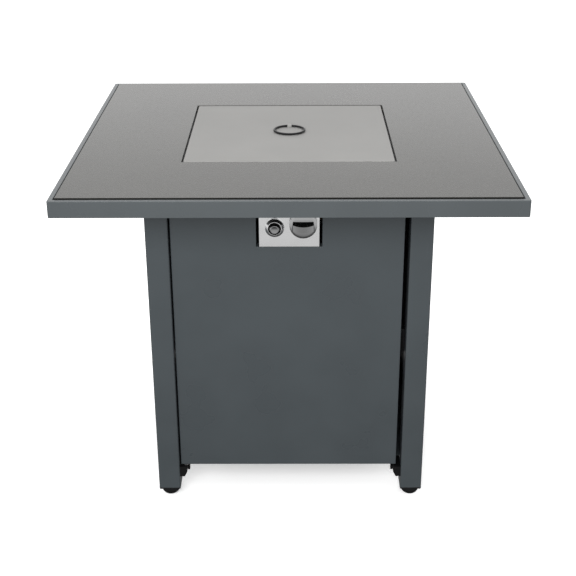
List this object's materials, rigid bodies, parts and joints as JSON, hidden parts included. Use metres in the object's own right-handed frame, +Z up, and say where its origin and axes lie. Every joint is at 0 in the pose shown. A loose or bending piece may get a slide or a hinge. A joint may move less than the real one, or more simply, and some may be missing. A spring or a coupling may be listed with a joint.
{
  "type": "gas fire pit table",
  "caption": "Square gas fire pit table: tiled top with a lift-off burner lid on tube legs, recessed panels, a hinged tank door, a push-and-turn valve knob and a push igniter.",
  "frame": {"origin": "on the floor under the middle of the square top", "axes": "+Z up, -Y out of the front with the door and the controls, +X to the viewer's right"},
  "size_m": [0.762, 0.762, 0.6532],
  "materials": {
    "powder_coat": "satin fine-texture powder coat, dark grey",
    "tile": "satin stone-look tile, mid grey",
    "lid_coat": "satin coat, light warm grey",
    "ring_black": "satin black coat",
    "black_coat": "satin black coat",
    "black_plastic": "moulded black plastic",
    "cushion": "closed-cell strip",
    "heat_seal": "woven heat tape",
    "stainless": "mill-finish stainless sheet and tube",
    "brass": "machined brass",
    "copper": "drawn copper tube",
    "chrome": "bright plating",
    "bright_plate": "polished stainless sheet",
    "button": "bright plated plastic",
    "ceramic": "white ceramic insulator",
    "lead_sleeve": "insulated lead",
    "zinc": "zinc-plated steel",
    "nylon": "natural nylon"
  },
  "bodies": {
    "table": {"tabletop_rim": "powder_coat", "underframe_bars": "powder_coat", "opening_frame": "powder_coat", "control_hanger": "powder_coat", "front_left_leg": "powder_coat", "front_right_leg": "powder_coat", "rear_left_leg": "powder_coat", "rear_right_leg": "powder_coat", "front_top_rail": "powder_coat", "rear_top_rail": "powder_coat", "left_top_rail": "powder_coat", "right_top_rail": "powder_coat", "left_panel": "powder_coat", "right_panel": "powder_coat", "rear_panel": "powder_coat", "tank_tray": "powder_coat", "top_tile": "tile", "left_runner": "black_coat", "right_runner": "black_coat", "upper_pivot_plate": "black_coat", "runner_bolts": "black_coat", "leg_plugs": "black_plastic", "igniter_body": "black_plastic", "igniter_locknut": "black_plastic", "magnet_catch": "black_plastic", "tile_pads": "cushion", "bowl_seal": "heat_seal", "fire_bowl": "stainless", "burner_ring": "stainless", "gas_feed_tube": "stainless", "door_pivot_pins": "stainless", "ignition_bracket": "stainless", "burner_locknut": "brass", "gas_elbow": "brass", "air_mixer": "brass", "gas_valve": "brass", "thermocouple": "brass", "thermocouple_lead": "copper", "igniter_bezel": "chrome", "control_plate": "bright_plate", "ignition_electrode": "ceramic", "ignition_lead": "lead_sleeve", "control_screws": "zinc", "panel_screws": "zinc", "top_bolts": "zinc"},
    "lid": {"burner_lid": "lid_coat", "pull_ring_eye": "lid_coat"},
    "pull_ring": {"pull_ring": "ring_black"},
    "door": {"access_door": "powder_coat", "door_bushes": "nylon"},
    "valve_stem": {"valve_push_rod": "stainless"},
    "knob": {"control_knob": "chrome", "valve_spindle": "stainless"},
    "igniter_button": {"igniter_button": "button"},
    "front_left_foot": {"front_left_foot": "black_plastic"},
    "front_right_foot": {"front_right_foot": "black_plastic"},
    "rear_left_foot": {"rear_left_foot": "black_plastic"},
    "rear_right_foot": {"rear_right_foot": "black_plastic"}
  },
  "joints": [
    {"name": "lid_lift", "type": "slide", "parent": "table", "child": "lid", "axis": [0, 0, 1], "range_m": [0, 0.3]},
    {"name": "ring_flip", "type": "hinge", "parent": "lid", "child": "pull_ring", "pos_m": [0, 0.028, 0.6486], "axis": [-1, 0, 0], "range_deg": [0, 170]},
    {"name": "door_swing", "type": "hinge", "parent": "table", "child": "door", "pos_m": [-0.1965, -0.234, 0.309], "axis": [0, 0, -1], "range_deg": [0, 105]},
    {"name": "knob_push", "type": "slide", "parent": "table", "child": "valve_stem", "axis": [0, 1, 0], "range_m": [0, 0.005], "stiffness_N_per_m": 900, "springref_m": -0.005},
    {"name": "knob_turn", "type": "hinge", "parent": "valve_stem", "child": "knob", "pos_m": [0.024, -0.243, 0.555], "axis": [0, -1, 0], "range_deg": [0, 180]},
    {"name": "igniter_press", "type": "slide", "parent": "table", "child": "igniter_button", "axis": [0, 1, 0], "range_m": [0, 0.004], "stiffness_N_per_m": 1500, "springref_m": -0.003},
    {"name": "front_left_level", "type": "slide", "parent": "table", "child": "front_left_foot", "axis": [0, 0, -1], "range_m": [0, 0.012]},
    {"name": "front_right_level", "type": "slide", "parent": "table", "child": "front_right_foot", "axis": [0, 0, -1], "range_m": [0, 0.012]},
    {"name": "rear_left_level", "type": "slide", "parent": "table", "child": "rear_left_foot", "axis": [0, 0, -1], "range_m": [0, 0.012]},
    {"name": "rear_right_level", "type": "slide", "parent": "table", "child": "rear_right_foot", "axis": [0, 0, -1], "range_m": [0, 0.012]}
  ]
}
